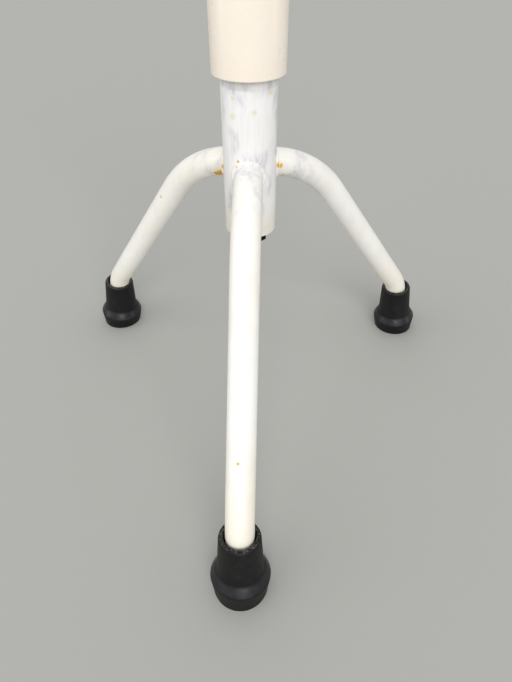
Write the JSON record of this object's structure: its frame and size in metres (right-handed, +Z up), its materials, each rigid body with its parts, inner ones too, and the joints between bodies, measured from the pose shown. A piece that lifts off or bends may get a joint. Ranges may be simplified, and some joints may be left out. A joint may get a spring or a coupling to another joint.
{
  "type": "retort stand",
  "caption": "Tripod support stand with bent tube legs on rubber ferrules, a telescoping and swivelling sleeve locked by a side screw, and a plain support rod for clamps.",
  "frame": {"origin": "middle of the footprint on the floor; the column's axis stands behind it", "axes": "+Z up the column, the front leg along -Y, the clamp screw at the back along +Y"},
  "size_m": [0.2798, 0.274, 0.65],
  "materials": {
    "white_paint": "satin brushed enamel, scuffed, with rust at the welds",
    "ferrule_rubber": "moulded, dusty",
    "zinc_steel": "zinc plated",
    "black_steel": "black oxide",
    "acetal": "turned",
    "cream_paint": "smooth satin powder coat",
    "turned_aluminium": "turned",
    "ground_steel": "centreless ground stainless steel",
    "black_plastic": "moulded, fine grain",
    "brass_insert": "turned"
  },
  "bodies": {
    "base": {"leg_front": "white_paint", "leg_weld_front": "white_paint", "ferrule_front": "ferrule_rubber", "ferrule_disc_front": "zinc_steel", "leg_left": "white_paint", "leg_weld_left": "white_paint", "ferrule_left": "ferrule_rubber", "ferrule_disc_left": "zinc_steel", "leg_right": "white_paint", "leg_weld_right": "white_paint", "ferrule_right": "ferrule_rubber", "ferrule_disc_right": "zinc_steel", "column_tube": "white_paint", "column_end_plate": "white_paint", "tie_bolt": "black_steel", "tie_washer": "zinc_steel", "tie_nut": "zinc_steel", "column_guide_bush": "acetal"},
    "guide": {"guide_ring": "acetal"},
    "mast": {"sleeve_tube": "cream_paint", "circlip_lower": "black_steel", "circlip_upper": "black_steel", "mast_cap": "turned_aluminium", "cap_screws": "zinc_steel", "rod_washer": "zinc_steel", "rod_lock_nut": "zinc_steel", "support_rod": "ground_steel", "clamp_boss": "cream_paint", "boss_weld": "cream_paint"},
    "pad": {"pressure_pad": "acetal"},
    "clamp": {"lock_screw": "zinc_steel", "lock_knob": "black_plastic", "knob_insert": "brass_insert"}
  },
  "joints": [
    {"name": "height_slide", "type": "slide", "parent": "base", "child": "guide", "axis": [0, 0, 1], "range_m": [0, 0.1]},
    {"name": "mast_swivel", "type": "hinge", "parent": "guide", "child": "mast", "pos_m": [0, 0.03157, 0.3], "axis": [0, 0, 1], "continuous": true},
    {"name": "pad_travel", "type": "slide", "parent": "mast", "child": "pad", "axis": [0, 1, 0], "range_m": [0, 0.0025]},
    {"name": "clamp_turn", "type": "hinge", "parent": "pad", "child": "clamp", "pos_m": [0, 0.06157, 0.27], "axis": [0, 1, 0], "range_deg": [0, 720]}
  ],
  "couplings": [
    {"joint": "pad_travel", "follows": "clamp_turn", "m_per_rad": 0.00015915}
  ]
}
